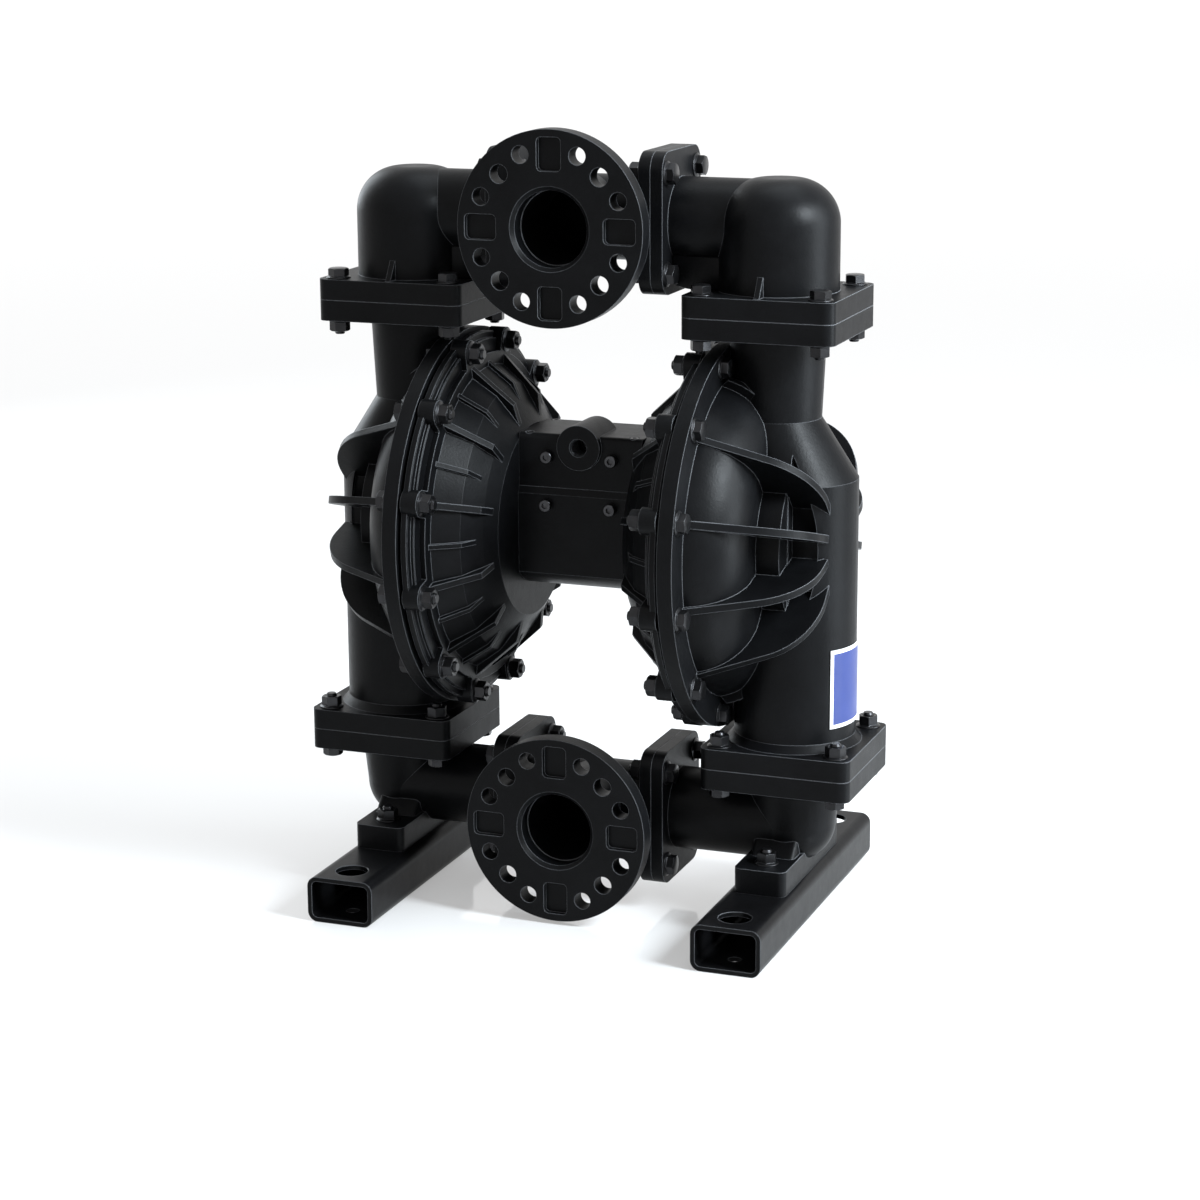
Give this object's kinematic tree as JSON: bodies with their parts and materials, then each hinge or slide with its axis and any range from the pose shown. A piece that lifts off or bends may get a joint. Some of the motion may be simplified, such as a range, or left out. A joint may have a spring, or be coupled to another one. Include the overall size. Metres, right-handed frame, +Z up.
{
  "type": "air operated diaphragm pump",
  "caption": "Air operated double diaphragm pump with flanged inlet and outlet manifolds, ball valves, ribbed chambers and two floor rails.",
  "frame": {"origin": "on the floor, midway between the rails and midway along them", "axes": "+X to the right-hand chamber seen from the flanges, +Y to the back, +Z up"},
  "size_m": [0.61, 0.408, 0.837],
  "materials": {
    "black_casting": "satin",
    "black_steel": "satin",
    "zinc_fastener": "satin black",
    "screw_steel": "satin",
    "rubber": "matte",
    "plated_disc": "satin",
    "bare_aluminium": "satin",
    "ground_shaft": "polished",
    "bronze": "satin",
    "seat_plastic": "matte",
    "ball_rubber": "matte",
    "muffler_plastic": "matte",
    "label": "satin"
  },
  "bodies": {
    "body": {"inlet_tee": "black_casting", "outlet_tee": "black_casting", "inlet_elbow_left": "black_casting", "inlet_elbow_right": "black_casting", "outlet_elbow_left": "black_casting", "outlet_elbow_right": "black_casting", "fluid_cover_left": "black_casting", "fluid_cover_right": "black_casting", "air_cover_left": "black_casting", "air_cover_right": "black_casting", "centre_block": "black_casting", "valve_block": "black_casting", "rail_left": "black_steel", "rail_right": "black_steel", "rim_bolts_left": "zinc_fastener", "rim_bolts_right": "zinc_fastener", "rim_nuts_left": "zinc_fastener", "rim_nuts_right": "zinc_fastener", "inlet_clamp_bolts": "zinc_fastener", "inlet_clamp_nuts": "zinc_fastener", "outlet_clamp_bolts": "zinc_fastener", "outlet_clamp_nuts": "zinc_fastener", "joint_bolts": "zinc_fastener", "joint_nuts": "zinc_fastener", "foot_bolts": "zinc_fastener", "foot_nuts": "zinc_fastener", "hub_screws_left": "screw_steel", "hub_screws_right": "screw_steel", "valve_screws": "screw_steel", "front_screws": "screw_steel", "diaphragm_left": "rubber", "diaphragm_right": "rubber", "inlet_seat_rings": "rubber", "outlet_seat_rings": "rubber", "inlet_joint_rings": "rubber", "outlet_joint_rings": "rubber", "shaft_seals": "rubber", "shaft_bearings": "bronze", "valve_sleeve": "bronze", "valve_plugs": "bare_aluminium", "inlet_seat_left": "seat_plastic", "outlet_seat_left": "seat_plastic", "inlet_seat_right": "seat_plastic", "outlet_seat_right": "seat_plastic", "muffler": "muffler_plastic", "label_plate": "label"},
    "shaft_assembly": {"shaft": "ground_shaft", "inner_disc_left": "plated_disc", "inner_disc_right": "plated_disc", "outer_disc_left": "bare_aluminium", "outer_disc_right": "bare_aluminium"},
    "spool": {"valve_spool": "ground_shaft"},
    "pin_left": {"pilot_pin_left": "ground_shaft"},
    "pin_right": {"pilot_pin_right": "ground_shaft"},
    "inlet_ball_left": {"inlet_ball_left": "ball_rubber"},
    "inlet_ball_right": {"inlet_ball_right": "ball_rubber"},
    "outlet_ball_left": {"outlet_ball_left": "ball_rubber"},
    "outlet_ball_right": {"outlet_ball_right": "ball_rubber"}
  },
  "joints": [
    {"name": "shaft_stroke", "type": "slide", "parent": "body", "child": "shaft_assembly", "axis": [1, 0, 0], "range_m": [-0.02, 0.02], "deforming": ["diaphragm_left", "diaphragm_right"]},
    {"name": "spool_shift", "type": "slide", "parent": "body", "child": "spool", "axis": [1, 0, 0], "range_m": [-0.008, 0.008]},
    {"name": "pin_left_travel", "type": "slide", "parent": "body", "child": "pin_left", "axis": [1, 0, 0], "range_m": [-0.006, 0]},
    {"name": "pin_right_travel", "type": "slide", "parent": "body", "child": "pin_right", "axis": [1, 0, 0], "range_m": [0, 0.006]},
    {"name": "inlet_ball_left_lift", "type": "slide", "parent": "body", "child": "inlet_ball_left", "axis": [0, 0, 1], "range_m": [0, 0.02]},
    {"name": "inlet_ball_right_lift", "type": "slide", "parent": "body", "child": "inlet_ball_right", "axis": [0, 0, 1], "range_m": [0, 0.02]},
    {"name": "outlet_ball_left_lift", "type": "slide", "parent": "body", "child": "outlet_ball_left", "axis": [0, 0, 1], "range_m": [0, 0.02]},
    {"name": "outlet_ball_right_lift", "type": "slide", "parent": "body", "child": "outlet_ball_right", "axis": [0, 0, 1], "range_m": [0, 0.02]}
  ]
}
